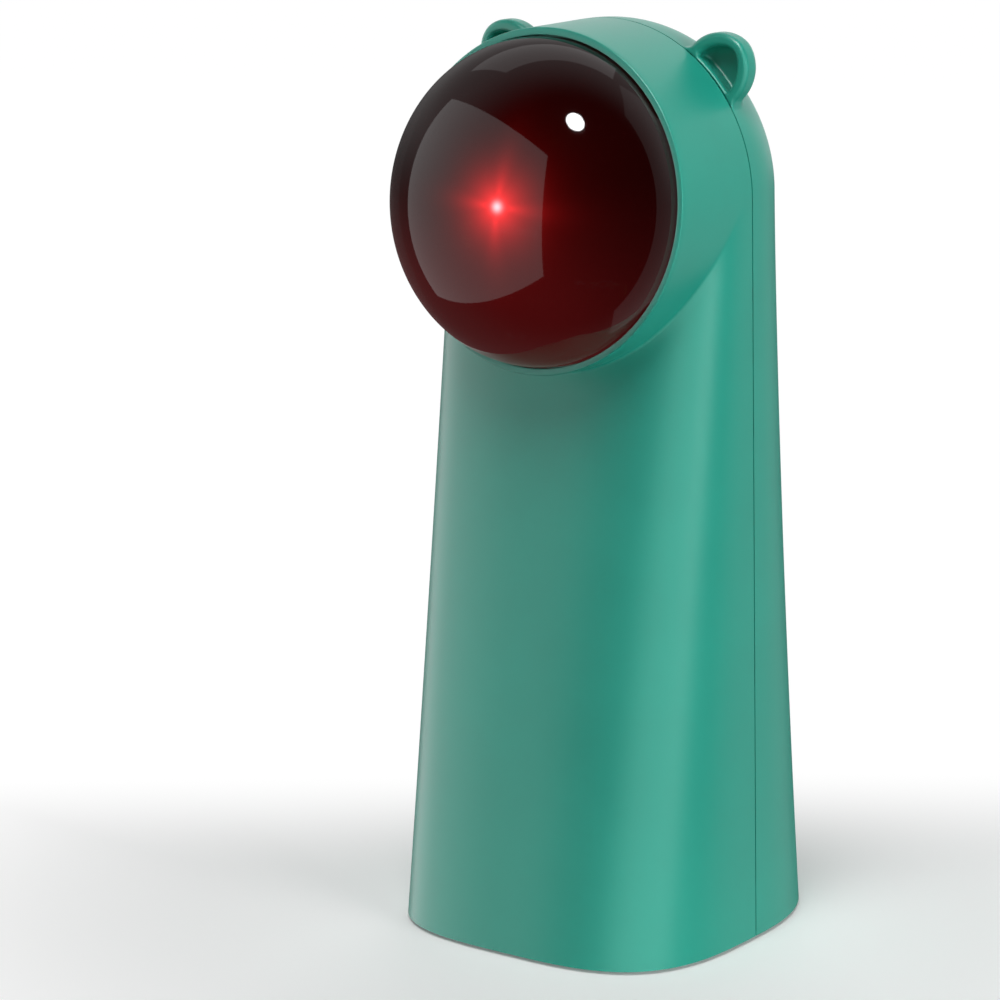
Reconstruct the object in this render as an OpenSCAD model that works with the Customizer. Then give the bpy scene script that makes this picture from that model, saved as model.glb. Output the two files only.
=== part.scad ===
// Automatic cat laser toy: a tapered tower of two moulded half shells with cat ears, whose round
// collar holds a dark red dome. Behind the dome a small laser swings from side to side and up and
// down on a geared yoke. Front of the toy faces -Y, up is +Z, and it stands on z = 0.

/* [Tower] */
// Height from the table to the top of the arched head
overall_h = 200; // [180:1:230]
// Width of the tower at the table
base_w = 78.6; // [72:0.2:90]
// Width of the arched head at the seam
head_w = 73.4; // [70:0.2:78]
// How far the front shell reaches ahead of the seam at the table
front_depth = 40.7; // [36:0.1:48]
// How far the sloping front still stands ahead of the seam at head height
front_top_depth = 17.05; // [14:0.05:22]
// How far the rear shell reaches behind the seam at the table
rear_depth = 42.8; // [38:0.1:50]
// How far the rear shell reaches behind the seam at head height
rear_top_depth = 26.6; // [22:0.1:34]
// Squareness of the front corners, 2 is an ellipse
front_corner = 3.25; // [2.2:0.05:5]
// Squareness of the rear corners, 2 is an ellipse
rear_corner = 2.5; // [2.2:0.1:5]
// How soon the back turns upright, 1 is a straight slope
rear_curve = 1.4; // [1:0.1:2.5]
// Wall of the two shells
wall = 2.2; // [1.8:0.1:2.6]
// Shadow gap between the two shells
seam_gap = 0.35; // [0.2:0.05:0.8]
// Thickness of the tongue that closes the seam from inside
tongue_t = 1; // [0.8:0.1:1.2]
// How far the tongue reaches into the rear shell
tongue_reach = 1.6; // [1:0.1:3]

/* [Head] */
// How far the middle of the collar's rim stands ahead of the seam
collar_reach = 26.1; // [24:0.1:30]
// Outside diameter of the collar at its rim
collar_d = 72.8; // [71:0.1:74]
// Wall of the collar at its rim
rim_wall = 1.4; // [1.2:0.1:1.6]
// How far the rim's plane leans back
face_lean = 6.3; // [0:0.1:9]
// Gap between the collar and the dome
dome_gap = 0.25; // [0.15:0.05:0.5]
// How far the dome stands ahead of the rim
dome_reach = 24.2; // [22:0.1:30]
// Wall of the dome
dome_wall = 2; // [1.5:0.1:2.2]
// How deep the dome's skirt sits in the collar
skirt_depth = 4; // [3:0.1:6]
// Thickness of the inner lip that the dome seats on
lip_t = 2; // [1.5:0.1:3]

/* [Ears] */
// Direction of each ear from the head's middle, above the level
ear_angle = 45; // [38:1:55]
// Width of an ear at its foot, measured round the head
ear_w = 15.4; // [12:0.1:18]
// How far an ear stands off the head
ear_h = 9.8; // [8:0.1:12]
// Roundness of an ear's outline, 2 is an ellipse and 1 is a triangle
ear_round = 1.8; // [1.5:0.05:2.4]
// Depth of an ear from front to back
ear_depth = 5.9; // [5:0.1:9]
// Thickness of an ear's rim
ear_wall = 2.4; // [2:0.1:2.8]
// Radius of the flare where an ear's foot meets the head
ear_flare = 1.6; // [0.8:0.1:2.4]

/* [Back] */
// Height of the power button
button_z = 52; // [46:1:60]
// Diameter of the power button
button_d = 9.6; // [8:0.1:11]
// How far the power button stands out of the back
button_out = 1; // [0.8:0.1:2]
// Travel of the power button
button_travel = 0.8; // [0.3:0.1:0.8]
// Height of the indicator light
light_z = 66; // [63:1:74]
// Height of the charging port
port_z = 20; // [14:1:26]
// Height of the two screws in the back
back_screw_z = 104; // [96:1:108]
// Distance between the two screws in the back
back_screw_pitch = 44; // [36:1:48]

/* [Underside] */
// How far the feet hold the tower off the table
stand = 0.8; // [0.5:0.1:1.2]
// Diameter of a foot
foot_d = 11; // [8:0.5:13]
// Thickness of the base plate
plate_t = 2.4; // [2:0.1:3]
// Distance between the base screws, side to side
base_screw_pitch = 62; // [56:1:64]

/* [Mechanism] */
// Gear module of all the gears
tooth_module = 0.8; // [0.7:0.01:0.82]
// Teeth of the gear under the yoke
pan_teeth = 28; // [26:2:30]
// Teeth of the idler
idler_teeth = 20; // [18:1:21]
// Teeth of the pinions on both motors
pinion_teeth = 10; // [10:1:11]
// Teeth of the gear on the laser holder
tilt_teeth = 22; // [20:2:24]
// Thickness of the gears
gear_t = 3; // [2:0.1:3.2]
// Play between meshing teeth
mesh_play = 0.1; // [0.08:0.01:0.2]
// How far the beam points down from level at rest
aim_down = 26; // [15:1:32]
// How far the laser's nose stands ahead of the rim
nose_ahead = 14.5; // [12:0.1:16]
// From the tilt pivot to the laser's nose
nose_reach = 12.4; // [11:0.1:13]
// Diameter of the laser module
laser_d = 8; // [6:0.1:8.5]
// Diameter of the pan spindle
spindle_d = 4; // [3:0.1:5]
// Running clearance of shafts in their bores, on the radius
run_gap = 0.05; // [0.02:0.01:0.09]

/* [Power] */
// Diameter of the battery cell
cell_d = 18.4; // [14:0.1:18.6]
// Length of the battery cell
cell_l = 65; // [50:1:70]
// Width of the main board
board_w = 40; // [36:1:42]
// Height of the main board
board_h = 58; // [50:1:60]
// Width of the charging board
charge_w = 24; // [22:1:30]
// Depth of the charging board
charge_d = 16; // [14:1:20]

/* [Hidden] */

$fn = 96;
ring_steps = 40;      // points round half a level section
rise_steps = 14;      // sections up the curved back
cap_steps = 28;       // bands from the rim of a dome or cap to its pole
eps = 0.01;
slide_gap = 0.2;      // all round a piece that drops into another

head_r = head_w / 2;
head_z = overall_h - head_r;
collar_r = collar_d / 2;
bore_r = collar_r - rim_wall;
dome_r = bore_r - dome_gap;
skirt_r = dome_r - dome_wall;
lip_r = skirt_r - slide_gap;
lip_end = skirt_depth + lip_t;
frame_r = lip_r + 0.9;
draft = (head_r - collar_r) / collar_reach;

// The tower stands so that its whole footprint, dome included, is centred on the origin
front_reach = collar_reach + sqrt(pow(dome_reach * cos(face_lean), 2) + pow(dome_r * sin(face_lean), 2));
seam_y = (front_reach - rear_at(stand)) / 2;

module placed() {
    translate([0, seam_y, 0]) children();
}

// Local frame of the leaning face: its origin is the middle of the rim and -Y leaves the dome
module face() {
    translate([0, -collar_reach, head_z]) rotate([-face_lean, 0, 0]) children();
}

// A cylinder lying along Y, from y0 to y1
module bar_y(r, y0, y1, x = 0, z = 0) {
    translate([x, y0, z]) rotate([-90, 0, 0]) cylinder(r = r, h = y1 - y0);
}

// A cylinder lying along X, from x0 to x1
module bar_x(r, x0, x1, y = 0, z = 0) {
    translate([x0, y, z]) rotate([0, 90, 0]) cylinder(r = r, h = x1 - x0);
}

// A block from one corner to the other
module block(low, high) {
    translate(low) cube(high - low);
}

// ---------------------------------------------------------------- form of the tower

function half_w(z) = base_w / 2 + (head_r - base_w / 2) * z / head_z;
function front_at(z) = front_depth + (front_top_depth - front_depth) * z / head_z;
function rear_at(z) = rear_top_depth + (rear_depth - rear_top_depth)
    * pow(max(0, 1 - z / head_z), rear_curve);

// Half of a level section, from +X round the front (side = -1) or the back (side = 1) to -X
function half_ring(w, depth, power, side, z) = [for (i = [0:ring_steps])
    let (a = 180 * i / ring_steps)
    [w * sign(cos(a)) * pow(abs(cos(a)), 2 / power), side * depth * pow(abs(sin(a)), 2 / power), z]];

// A solid through a stack of half sections, closed along the seam
module stack(rings, side) {
    n = len(rings[0]);
    top = len(rings) - 1;
    walls = [for (k = [0:top - 1], i = [0:n - 1]) let (j = (i + 1) % n)
        side > 0 ? [k * n + i, (k + 1) * n + i, (k + 1) * n + j, k * n + j]
            : [k * n + i, k * n + j, (k + 1) * n + j, (k + 1) * n + i]];
    floor_face = [for (i = [0:n - 1]) side > 0 ? i : n - 1 - i];
    top_face = [for (i = [0:n - 1]) top * n + (side > 0 ? n - 1 - i : i)];
    polyhedron(points = [for (r = rings) each r], faces = concat(walls, [floor_face, top_face]));
}

module front_form(inset, low) {
    heights = [low, head_z];
    stack([for (z = heights) half_ring(half_w(z) - inset, front_at(z) - inset, front_corner, -1, z)], -1);
}

module rear_form(inset, low) {
    heights = [for (k = [0:rise_steps]) low + (head_z - low) * k / rise_steps];
    stack([for (z = heights) half_ring(half_w(z) - inset, rear_at(z) - inset, rear_corner, 1, z)], 1);
    rear_cap(inset);
}

// The rounded back of the arched head, turned about the head's level axis
module rear_cap(inset) {
    r = head_r - inset;
    d = rear_top_depth - inset;
    profile = [for (i = [0:cap_steps]) let (a = 90 * i / cap_steps)
        [i == cap_steps ? 0 : r * pow(cos(a), 2 / rear_corner), d * pow(sin(a), 2 / rear_corner)]];
    translate([0, 0, head_z]) rotate([-90, 0, 0]) rotate_extrude() polygon(concat([[0, 0]], profile));
}

// The collar is a level round of slight draft, cut off along the leaning rim
module collar(inset, behind) {
    back = collar_reach + collar_r * sin(face_lean) + 1;
    intersection() {
        translate([0, -back, head_z]) rotate([-90, 0, 0])
            cylinder(r1 = head_r - draft * back - inset, r2 = head_r - inset, h = back);
        face() block([-base_w, behind, -base_w], [base_w, base_w, base_w]);
    }
}

// Outline of the tower in the plane of the seam
module seam_outline(inset) {
    translate([0, head_z]) circle(r = head_r - inset);
    polygon([[-base_w / 2 + inset, 0], [base_w / 2 - inset, 0], [head_r - inset, head_z],
        [inset - head_r, head_z]]);
}

module seam_slab(inset, y0, y1) {
    translate([0, y1, 0]) rotate([90, 0, 0]) linear_extrude(y1 - y0) seam_outline(inset);
}

// ---------------------------------------------------------------- shells

base_boss_r = 3.6;
base_boss_z = stand + plate_t + 3;
base_boss_h = 16;
base_screw_y = 14;
base_screw_r = 1.1;
base_screw_l = 12;
back_screw_r = 1.2;
back_screw_l = 15;
hole_gap = 0.2;       // round a screw's shank
back_screw_x = back_screw_pitch / 2;
back_boss_r = 3.4;
back_boss_l = 12;     // how deep its screw hole goes ahead of the seam
well_r = 3;
well_wall = 1.4;
well_floor = 2;
well_end = 4;

module base_boss(x, y) {
    translate([x, y, base_boss_z]) cylinder(r = base_boss_r, h = base_boss_h);
    block([min(x, sign(x) * base_w / 2), y - 0.8, base_boss_z], [max(x, sign(x) * base_w / 2), y + 0.8,
        base_boss_z + base_boss_h]);
}

module front_shell() {
    color("#2f9c84") placed() {
        difference() {
            union() {
                difference() {
                    union() {
                        front_form(0, stand);
                        collar(0, 0);
                    }
                    front_form(wall, stand - 1);
                    collar(wall, lip_end);
                    face() bar_y(bore_r, -5, skirt_depth + 0.1);
                    face() bar_y(lip_r, 0, lip_end + 1);
                }
                difference() {
                    seam_slab(wall - tongue_t, -2, tongue_reach);
                    seam_slab(wall, -3, tongue_reach + 1);
                    block([-base_w, -5, -1], [base_w, 5, stand + plate_t + 1]);
                }
                intersection() {
                    union() {
                        for (s = [-1, 1]) {
                            base_boss(s * base_screw_pitch / 2, -base_screw_y);
                            bar_y(back_boss_r, -front_depth, well_end, s * back_screw_x, back_screw_z);
                        }
                    }
                    union() {
                        front_form(wall / 2, stand);
                        block([-base_w / 2 + wall + 2, -1, stand], [base_w / 2 - wall - 2, well_end, head_z]);
                    }
                }
            }
            for (s = [-1, 1]) {
                translate([s * base_screw_pitch / 2, -base_screw_y, base_boss_z - 1])
                    cylinder(r = base_screw_r, h = base_boss_h - 2);
                bar_y(back_screw_r, -back_boss_l, well_end + 1, s * back_screw_x, back_screw_z);
            }
        }
    }
}

// ---------------------------------------------------------------- ears

ear_steps = 24;       // points over an ear's arch
ear_floor_steps = 4;  // points along the floor of its hollow
ear_front = seam_gap - 0.05;
ear_foot = -1;        // the arch starts below the head's own surface
ear_root = -1.6;
ear_edge_r = 1.1;     // round front edges of the rim, trimmed flush with the seam
ear_back_r = 3;       // round back of the ear
ear_back_wall = 1.7;
ear_hollow_r = 2;
ear_hollow_round = ear_round - 0.2;
ear_sill = 0.45;      // the rim runs on as a low sill along the head
ear_dip = 0.6;        // behind it the hollow sinks into the head

// One ear's frame: +X leaves the head, +Y goes back
module at_ear(side) {
    translate([0, 0, head_z]) mirror([side < 0 ? 1 : 0, 0, 0]) rotate([0, -ear_angle, 0])
        translate([0, ear_front, 0]) children();
}

// A point that stands u off the head and lies v round it from the ear's middle
function off_head(u, v, y) = let (a = v / head_r * 180 / PI)
    [(head_r + u) * cos(a), y, (head_r + u) * sin(a)];

// How much wider an ear's foot is at the height u
function flare(u) = ear_flare - sqrt(pow(ear_flare, 2) - pow(max(0, ear_flare - max(0, u)), 2));

// An arch of the height h over the foot, from one side over the tip to the other
function arch(half, h, foot, power, widen, y) = [for (i = [0:ear_steps])
    let (a = 180 * i / ear_steps, u = foot + (h - foot) * pow(sin(a), 2 / power))
    off_head(u, sign(cos(a)) * (half * pow(abs(cos(a)), 2 / power) + widen * flare(u)), y)];

function ear_ring(inset, widen, y) = let (half = ear_w / 2 - inset) concat(
    [off_head(ear_root, half + widen * ear_flare, y)],
    arch(half, ear_h - inset, ear_foot, ear_round, widen, y),
    [off_head(ear_root, -half - widen * ear_flare, y)]);

function hollow_ring(inset, foot, y) = let (half = ear_w / 2 - ear_wall - inset) concat(
    arch(half, ear_h - ear_wall - inset, foot, ear_hollow_round, 0, y),
    [for (j = [1:ear_floor_steps - 1]) off_head(foot, half * (2 * j / ear_floor_steps - 1), y)]);

// Rounded at the front edge, and rounded deeper at the back
module ear_body() {
    stack(concat(
        [for (a = [0:30:90]) ear_ring(ear_edge_r * (1 - sin(a)), 1, ear_edge_r * (1 - cos(a)))],
        [for (a = [0:30:90])
            ear_ring(ear_back_r * (1 - cos(a)), cos(a), ear_depth - ear_back_r * (1 - sin(a)))]), 1);
}

// Flared at its mouth, and scooped out below the head's own surface
module ear_hollow() {
    depth = ear_depth - ear_back_wall;
    stack(concat(
        [hollow_ring(-ear_edge_r, ear_sill, -ear_edge_r)],
        [for (a = [0:30:90]) hollow_ring(ear_edge_r * (sin(a) - 1), ear_sill, ear_edge_r * (1 - cos(a)))],
        [for (a = [0:30:90]) let (inset = ear_hollow_r * (1 - cos(a)))
            hollow_ring(inset, inset - ear_dip, depth - ear_hollow_r * (1 - sin(a)))]), 1);
}

// ---------------------------------------------------------------- back of the rear shell

board_y = 24.8;
board_t = 1.6;
board_back = board_y + board_t;
board_z = 26;
pad_t = 1;
button_r = button_d / 2;
button_hole_r = button_r + slide_gap;
pad_y = rear_at(button_z) - wall - pad_t;
pad_r = button_hole_r + 3;
port_w = 9;
port_h = 3.3;
port_l = 7.4;
port_wall_y = rear_at(port_z);
port_mouth = port_wall_y - 1.2;
light_r = 1.5;
light_pad_y = rear_at(light_z) - wall;
board_hole_x = board_w / 2 - 4;
board_hole_z = [board_z + 4, board_z + board_h - 4];
board_screw_r = 0.9;
board_screw_l = 5;
board_post_r = 2.6;

// A flat ended slot lying along Y
module slot_y(w, h, y0, y1, z) {
    for (s = [-1, 1]) bar_y(h / 2, y0, y1, s * (w - h) / 2, z);
    block([-(w - h) / 2, y0, z - h / 2], [(w - h) / 2, y1, z + h / 2]);
}

module rear_shell() {
    color("#2f9c84") placed() {
        difference() {
            union() {
                difference() {
                    union() {
                        rear_form(0, stand);
                        for (s = [-1, 1]) at_ear(s) ear_body();
                    }
                    block([-base_w, -1, 0], [base_w, seam_gap, overall_h + 1]);
                    rear_form(wall, stand - 1);
                    seam_slab(wall - tongue_t - slide_gap / 2, -1, tongue_reach + slide_gap);
                    for (s = [-1, 1]) at_ear(s) ear_hollow();
                }
                intersection() {
                    union() {
                        for (s = [-1, 1]) {
                            base_boss(s * base_screw_pitch / 2, base_screw_y);
                            bar_y(well_r + well_wall, well_end, rear_depth, s * back_screw_x, back_screw_z);
                            for (z = board_hole_z)
                                bar_y(board_post_r, board_back, rear_depth, s * board_hole_x, z);
                        }
                        bar_y(pad_r, pad_y, rear_depth, 0, button_z);
                        bar_y(light_r + 1.2, light_pad_y - 1.5, rear_depth, 0, light_z);
                    }
                    rear_form(wall / 2, stand);
                }
            }
            for (s = [-1, 1]) {
                translate([s * base_screw_pitch / 2, base_screw_y, base_boss_z - 1])
                    cylinder(r = base_screw_r, h = base_boss_h - 2);
                bar_y(well_r, well_end + well_floor, rear_depth, s * back_screw_x, back_screw_z);
                bar_y(back_screw_r + hole_gap, 0, rear_depth, s * back_screw_x, back_screw_z);
                for (z = board_hole_z) bar_y(board_screw_r, board_y, rear_at(z) - wall, s * board_hole_x, z);
            }
            bar_y(button_hole_r, 0, rear_depth, 0, button_z);
            bar_y(light_r, 0, rear_depth, 0, light_z);
            slot_y(port_w + 0.4, port_h + 0.4, 0, rear_depth + 1, port_z);
            slot_y(port_w + 3.4, port_h + 3.4, port_wall_y - 1, rear_depth + 1, port_z);
        }
    }
}

// ---------------------------------------------------------------- base

foot_r = foot_d / 2;
foot_x = 22;
foot_front_y = -26;
foot_rear_y = 24;
foot_sunk = 0.9;

module base_plate() {
    top = stand + plate_t;
    inset = wall + slide_gap;
    outline = concat(
        [for (p = half_ring(half_w(top) - inset, front_at(top) - inset, front_corner, -1, 0)) [p[0], p[1]]],
        [for (p = half_ring(half_w(top) - inset, rear_at(top) - inset, rear_corner, 1, 0)) [-p[0], p[1]]]);
    color("#27806c") placed() difference() {
        union() {
            translate([0, 0, stand]) linear_extrude(plate_t) polygon(outline);
            for (sx = [-1, 1], sy = [-1, 1]) translate([sx * base_screw_pitch / 2, sy * base_screw_y, stand])
                cylinder(r = base_boss_r + 0.4, h = base_boss_z - stand);
            for (s = [-1, 1]) translate([s * charge_hole_x, charge_hole_y, stand])
                cylinder(r = charge_post_r, h = charge_top - board_t - stand);
        }
        for (s = [-1, 1]) translate([s * charge_hole_x, charge_hole_y, charge_top - board_t - 6])
            cylinder(r = board_screw_r, h = 7);
        for (sx = [-1, 1], sy = [-1, 1]) translate([sx * base_screw_pitch / 2, sy * base_screw_y, 0]) {
            cylinder(r = 2.5, h = base_boss_z - 2);
            cylinder(r = base_screw_r + hole_gap, h = base_boss_z + 1);
        }
        for (sx = [-1, 1], y = [foot_front_y, foot_rear_y])
            translate([sx * foot_x, y, 0]) cylinder(r = foot_r, h = stand + foot_sunk);
    }
}

module rubber_feet() {
    color("#1d1f20") placed()
        for (sx = [-1, 1], y = [foot_front_y, foot_rear_y])
            translate([sx * foot_x, y, 0]) {
                cylinder(r1 = foot_r - 0.5, r2 = foot_r, h = 0.4);
                translate([0, 0, 0.4]) cylinder(r = foot_r, h = stand + foot_sunk - 0.4);
            }
}

// A cross slotted pan head screw with its head at z = 0 and its shank going up
module screw(shank_r, length, head_share = 2) {
    head_radius = shank_r * head_share;
    head_h = shank_r * 1.35;
    tip = shank_r / 2;
    slot = shank_r / 5;
    difference() {
        union() {
            translate([0, 0, -head_h]) cylinder(r1 = head_radius * 0.8, r2 = head_radius, h = head_h);
            cylinder(r = shank_r, h = length - tip);
            translate([0, 0, length - tip]) cylinder(r1 = shank_r, r2 = tip, h = tip);
        }
        for (a = [0, 90]) rotate([0, 0, a])
            block([-head_radius * 0.6, -slot, -2 * head_h], [head_radius * 0.6, slot, -head_h * 0.45]);
    }
}

module base_screws() {
    color("#9a9da0") placed()
        for (sx = [-1, 1], sy = [-1, 1])
            translate([sx * base_screw_pitch / 2, sy * base_screw_y, base_boss_z - 2])
                screw(base_screw_r, base_screw_l);
}

module back_screws() {
    color("#9a9da0") placed()
        for (s = [-1, 1])
            translate([s * back_screw_x, well_end + well_floor, back_screw_z])
                rotate([90, 0, 0]) screw(back_screw_r, back_screw_l);
}

// ---------------------------------------------------------------- dome

post_r = 2.3;
post_at = lip_r - post_r - 0.1;
post_front = -3;
post_angles = [45, 135, 225, 315];
frame_screw_r = 0.9;
frame_screw_l = 7.5;
post_web = 1.6;

// Half an ellipse of revolution with its rim at y = 0 and its pole at y = -reach
module half_round(r, reach) {
    profile = [for (i = [0:cap_steps]) let (a = 90 * i / cap_steps)
        [i == cap_steps ? 0 : r * cos(a), reach * sin(a)]];
    rotate([90, 0, 0]) rotate_extrude() polygon(concat([[0, 0]], profile));
}

module at_posts() {
    for (a = post_angles) rotate([0, a, 0]) translate([post_at, 0, 0]) children();
}

module dome() {
    color("#3a0505") placed() face() difference() {
        union() {
            difference() {
                union() {
                    half_round(dome_r, dome_reach);
                    bar_y(dome_r, 0, skirt_depth);
                }
                half_round(skirt_r, dome_reach - dome_wall);
                bar_y(skirt_r, -eps, skirt_depth + 1);
            }
            at_posts() {
                bar_y(post_r, post_front, lip_end);
                block([0, post_front, -post_web / 2],
                    [skirt_r - post_at + dome_wall * 0.4, skirt_depth, post_web / 2]);
            }
        }
        at_posts() bar_y(frame_screw_r, -1, lip_end + 1);
    }
}

// ---------------------------------------------------------------- gears

pressure = 20;
addendum = 0.85 * tooth_module;
dedendum = 1.15 * tooth_module;
flank_play = 0.05;

function pitch_r(teeth) = teeth * tooth_module / 2;
function gear_gap(a, b) = pitch_r(a) + pitch_r(b) + mesh_play;
function involute(a) = tan(a) * 180 / PI - a;
function tooth_half(teeth, r) = let (rb = pitch_r(teeth) * cos(pressure))
    90 / teeth - flank_play / pitch_r(teeth) * 180 / PI + involute(pressure)
        - involute(r > rb ? acos(rb / r) : 0);
function tooth_radii(teeth) = let (rp = pitch_r(teeth), rb = rp * cos(pressure))
    [rp - dedendum, max(rb, rp - dedendum + 0.02), (rb + rp) / 2 + 0.03, rp + addendum / 2, rp + addendum];
function polar(r, a) = [r * cos(a), r * sin(a)];
function gear_points(teeth, phase) = [for (t = [0:teeth - 1]) let (c = phase + 360 * t / teeth)
    each concat(
        [for (r = tooth_radii(teeth)) polar(r, c - tooth_half(teeth, r))],
        [for (i = [4:-1:0]) let (r = tooth_radii(teeth)[i]) polar(r, c + tooth_half(teeth, r))])];

// Phase of gear b that lets it mesh with gear a, seen from a in direction dir
function mesh_phase(dir, phase_a, a, b) = dir + 180 + (dir - phase_a) * a / b + 180 / b;

module gear(teeth, phase, bore) {
    linear_extrude(gear_t) difference() {
        polygon(gear_points(teeth, phase));
        circle(r = bore);
    }
}

// ---------------------------------------------------------------- mechanism frame and pan drive

aim = aim_down + face_lean;
pivot_y = nose_reach * cos(aim) - nose_ahead;
pivot_z = nose_reach * sin(aim);
idler_y = pivot_y + gear_gap(pan_teeth, idler_teeth);
motor_y = idler_y + gear_gap(idler_teeth, pinion_teeth);
shelf_top = -21.5;
shelf_t = 3;
shelf_low = shelf_top - shelf_t;
bush_flange = 0.5;
gear_low = shelf_top + bush_flange + 0.1;
gear_top = gear_low + gear_t;
frame_front = lip_end;
frame_t = 2;
frame_back = frame_front + frame_t;
opening_r = 26.5;
spindle_r = spindle_d / 2;
bush_r = spindle_r + 1.5;
hub_r = bush_r + 2;
hub_low = shelf_low - 2.5;
pin_r = 1.5;
shaft_r = 1.5;
boss_r = 2;
motor_w = 12;
motor_d = 10;
gearbox_h = 9;
can_h = 15;
motor_screw_x = 4.5;
motor_screw_r = 0.7;
motor_screw_l = 4.5;
pan_phase = 90;
idler_phase = mesh_phase(90, pan_phase, pan_teeth, idler_teeth);
pan_pinion_phase = mesh_phase(90, idler_phase, idler_teeth, pinion_teeth);

module mechanism_frame() {
    color("#26282a") placed() face() difference() {
        union() {
            difference() {
                bar_y(frame_r, frame_front, frame_back);
                intersection() {
                    bar_y(opening_r, frame_front - 1, frame_back + 1);
                    block([-40, 0, shelf_top], [40, 40, 40]);
                }
            }
            translate([0, pivot_y, hub_low]) cylinder(r = hub_r, h = shelf_top - hub_low);
            block([-hub_r, pivot_y, shelf_low], [hub_r, frame_front + eps, shelf_top]);
            block([-11, frame_front, shelf_low], [11, motor_y + 6.5, shelf_top]);
            translate([0, idler_y, shelf_low]) cylinder(r = 3, h = gear_low - shelf_low - 0.1);
            for (s = [-1, 1]) translate([s * 10, 0, 0]) rotate([90, 0, 90])
                linear_extrude(1.6, center = true)
                    polygon([[frame_front + eps, shelf_low + eps], [frame_front + eps, -29],
                        [frame_back, -29], [motor_y - 6, shelf_low + eps]]);
        }
        translate([0, pivot_y, hub_low - 1]) cylinder(r = bush_r, h = shelf_top - hub_low + 2);
        translate([0, idler_y, shelf_low - 1]) cylinder(r = pin_r, h = shelf_t + 3);
        translate([0, motor_y, shelf_low - 1]) cylinder(r = boss_r, h = shelf_t + 2);
        for (s = [-1, 1]) translate([s * motor_screw_x, motor_y, shelf_low - 1])
            cylinder(r = motor_screw_r + hole_gap, h = shelf_t + 2);
        at_posts() bar_y(frame_screw_r + hole_gap, frame_front - 1, frame_back + 1);
    }
}

module frame_screws() {
    color("#9a9da0") placed() face() at_posts()
        translate([0, frame_back, 0]) rotate([90, 0, 0]) screw(frame_screw_r, frame_screw_l);
}

module pan_motor() {
    low = shelf_low - gearbox_h - can_h;
    color("#b9bcc0") placed() face() translate([0, motor_y, 0]) difference() {
        union() {
            for (z = [shelf_low - 1, shelf_low - 5, shelf_low - gearbox_h])
                block([-motor_w / 2, -motor_d / 2, z], [motor_w / 2, motor_d / 2, z + 1]);
            block([-motor_w / 2 + 1, -motor_d / 2 + 1, shelf_low - gearbox_h],
                [motor_w / 2 - 1, motor_d / 2 - 1, shelf_low]);
            intersection() {
                translate([0, 0, low]) cylinder(r = motor_w / 2, h = can_h);
                block([-motor_w, -motor_d / 2, low], [motor_w, motor_d / 2, shelf_low]);
            }
            translate([0, 0, low - 1]) cylinder(r = 2.2, h = 2);
            translate([0, 0, shelf_low - 1]) cylinder(r = boss_r, h = shelf_t);
        }
        translate([0, 0, shelf_low - 8]) cylinder(r = shaft_r + run_gap, h = 20);
        for (s = [-1, 1]) translate([s * motor_screw_x, 0, shelf_low - 3])
            cylinder(r = motor_screw_r, h = 4);
    }
}

module motor_screws() {
    color("#9a9da0") placed() face()
        for (s = [-1, 1]) translate([s * motor_screw_x, motor_y, shelf_low])
            translate([0, 0, shelf_t - 1]) mirror([0, 0, 1])
            screw(motor_screw_r, motor_screw_l, 1.2);
}

module pan_motor_shaft() {
    color("#c9ccd0") placed() face()
        translate([0, motor_y, shelf_low - 7.5]) cylinder(r = shaft_r, h = gear_top + 0.5 - shelf_low + 7.5);
}

module pan_pinion() {
    color("#d8b25a") placed() face()
        translate([0, motor_y, gear_low]) gear(pinion_teeth, pan_pinion_phase, shaft_r);
}

module idler_pin() {
    color("#c9ccd0") placed() face() translate([0, idler_y, shelf_low]) {
        cylinder(r = pin_r, h = gear_top + 0.2 - shelf_low);
        translate([0, 0, gear_top + 0.2 - shelf_low]) cylinder(r1 = 2.4, r2 = 2, h = 0.6);
    }
}

module idler_gear() {
    color("#e8e4d8") placed() face() translate([0, idler_y, gear_low]) difference() {
        gear(idler_teeth, idler_phase, pin_r + run_gap);
        for (a = [30:60:330]) rotate([0, 0, a]) translate([4.3, 0, -1]) cylinder(r = 1.1, h = gear_t + 2);
    }
}

module pan_bush() {
    color("#c79a45") placed() face() translate([0, pivot_y, 0]) difference() {
        union() {
            translate([0, 0, hub_low]) cylinder(r = bush_r, h = shelf_top - hub_low);
            translate([0, 0, shelf_top]) cylinder(r = bush_r + 1.2, h = bush_flange);
        }
        translate([0, 0, hub_low - 1]) cylinder(r = spindle_r + run_gap, h = 20);
    }
}

// ---------------------------------------------------------------- yoke, which swings from side to side

yoke_t = 2;
yoke_top = gear_top + yoke_t;
arm_in = 8;
arm_t = 2.5;
arm_out = arm_in + arm_t;
arm_half = 4.5;
trunnion_r = 1.5;
tilt_motor_r = 4;
tilt_motor_z = pivot_z - gear_gap(tilt_teeth, pinion_teeth);
tilt_motor_low_x = -arm_in + 0.2;
tilt_motor_high_x = arm_in - 1.8;
tilt_shaft_r = 0.8;
tilt_boss_r = 1.6;
tilt_gear_x = -arm_out - 0.5;
peg_at = 6.5;
tilt_phase = 90;
tilt_pinion_phase = mesh_phase(-90, tilt_phase, tilt_teeth, pinion_teeth);

module at_pivot() {
    placed() face() translate([0, pivot_y, pivot_z]) children();
}

// Turns a flat shape to face +X, with its own x going back and its own y going up
module facing_x() {
    rotate([90, 0, 90]) children();
}

module pan_gear() {
    color("#e8e4d8") placed() face() translate([0, pivot_y, gear_low]) difference() {
        gear(pan_teeth, pan_phase, spindle_r);
        for (s = [-1, 1]) translate([s * peg_at, 0, -1]) cylinder(r = 1, h = gear_t + 2);
        for (a = [45:90:315]) rotate([0, 0, a]) translate([7, 0, -1]) cylinder(r = 2, h = gear_t + 2);
    }
}

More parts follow.
